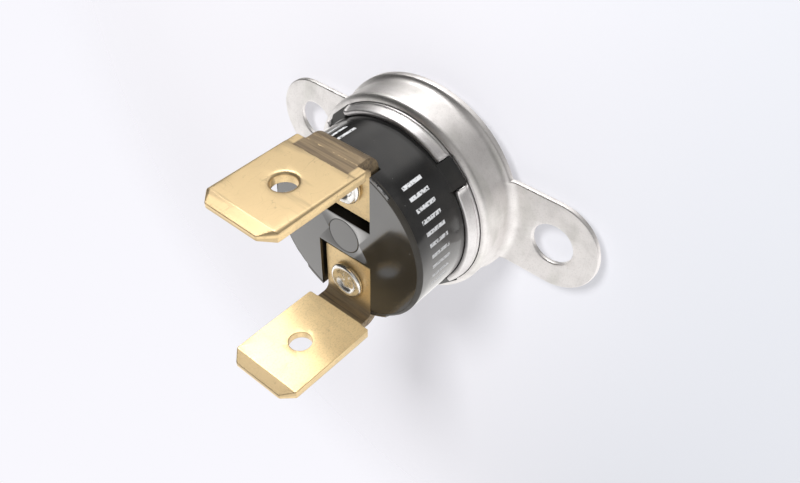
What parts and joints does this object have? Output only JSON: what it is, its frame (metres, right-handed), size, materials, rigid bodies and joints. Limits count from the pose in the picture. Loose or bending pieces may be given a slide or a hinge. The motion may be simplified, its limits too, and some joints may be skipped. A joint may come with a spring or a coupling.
{
  "type": "bimetal temperature switch",
  "caption": "Round bimetal temperature switch: snap disc in a crimped aluminium cup, eared mounting flange, black body and brass push-on tabs. Opens a circuit when its face gets hot.",
  "frame": {"origin": "centre of the flat sensing face", "axes": "+Z from the sensing face to the tabs, +X along the mounting ears, +Y to the tab that carries the contact arm"},
  "size_m": [0.0312, 0.0174, 0.0202],
  "materials": {
    "cup_aluminium": "drawn aluminium, satin, crimped by a roller",
    "flange_aluminium": "drawn aluminium sheet, satin to matt",
    "bimetal": "rolled bimetal strip",
    "guide_plastic": "moulded phenolic",
    "ceramic": "ground white ceramic",
    "black_phenolic": "glossy black moulded phenolic",
    "tab_brass": "rolled brass, satin with stamping marks",
    "rivet_metal": "bright plated",
    "spring_bronze": "rolled spring bronze",
    "contact_silver": "silver, polished",
    "strip_brass": "rolled brass"
  },
  "bodies": {
    "housing": {"sensing_cup": "cup_aluminium", "mounting_flange": "flange_aluminium", "bimetal_disc": "bimetal", "pin_guide": "guide_plastic", "switch_body": "black_phenolic", "upper_terminal": "tab_brass", "lower_terminal": "tab_brass", "upper_rivet": "rivet_metal", "lower_rivet": "rivet_metal", "fixed_strip": "strip_brass", "fixed_contact": "contact_silver"},
    "pin": {"push_pin": "ceramic"},
    "arm": {"contact_arm": "spring_bronze", "moving_contact": "contact_silver"}
  },
  "joints": [
    {"name": "pin_slide", "type": "slide", "parent": "housing", "child": "pin", "axis": [0, 0, 1], "range_m": [0, 0.0004], "deforming": ["bimetal_disc"]},
    {"name": "arm_flex", "type": "hinge", "parent": "housing", "child": "arm", "pos_m": [0, 0.0032, 0.00762], "axis": [-1, 0, 0], "range_deg": [0, 6.5], "stiffness_Nm_per_rad": 0.01, "deforming": ["contact_arm"]}
  ],
  "couplings": [
    {"joint": "arm_flex", "follows": "pin_slide", "rad_per_m": 270}
  ]
}
